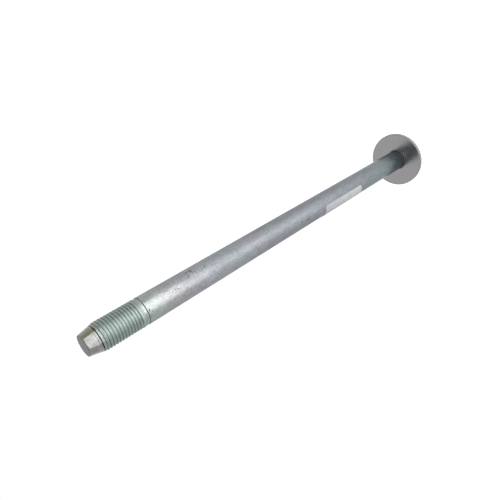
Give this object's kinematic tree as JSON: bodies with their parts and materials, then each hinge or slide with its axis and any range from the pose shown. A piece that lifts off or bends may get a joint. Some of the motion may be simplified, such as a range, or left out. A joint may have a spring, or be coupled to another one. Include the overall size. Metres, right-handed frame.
{
  "type": "wheel bolt",
  "caption": "Long steel wheel bolt: hexagon head with a wide thin collar, plain round shank and a short fine thread with a tapered lead-in.",
  "frame": {"origin": "centre of the flat end face of the hexagon head, at the bottom of the bounding box", "axes": "+Z along the bolt's axis from the head to the threaded tip; -Y is the side shown by default"},
  "size_m": [0.039, 0.039, 0.2694],
  "materials": {
    "plated_steel": "satin zinc plating with a faint blue-green tint",
    "label_paper": "matt, blank"
  },
  "bodies": {
    "root": {"bolt": "plated_steel", "label": "label_paper"}
  },
  "joints": []
}
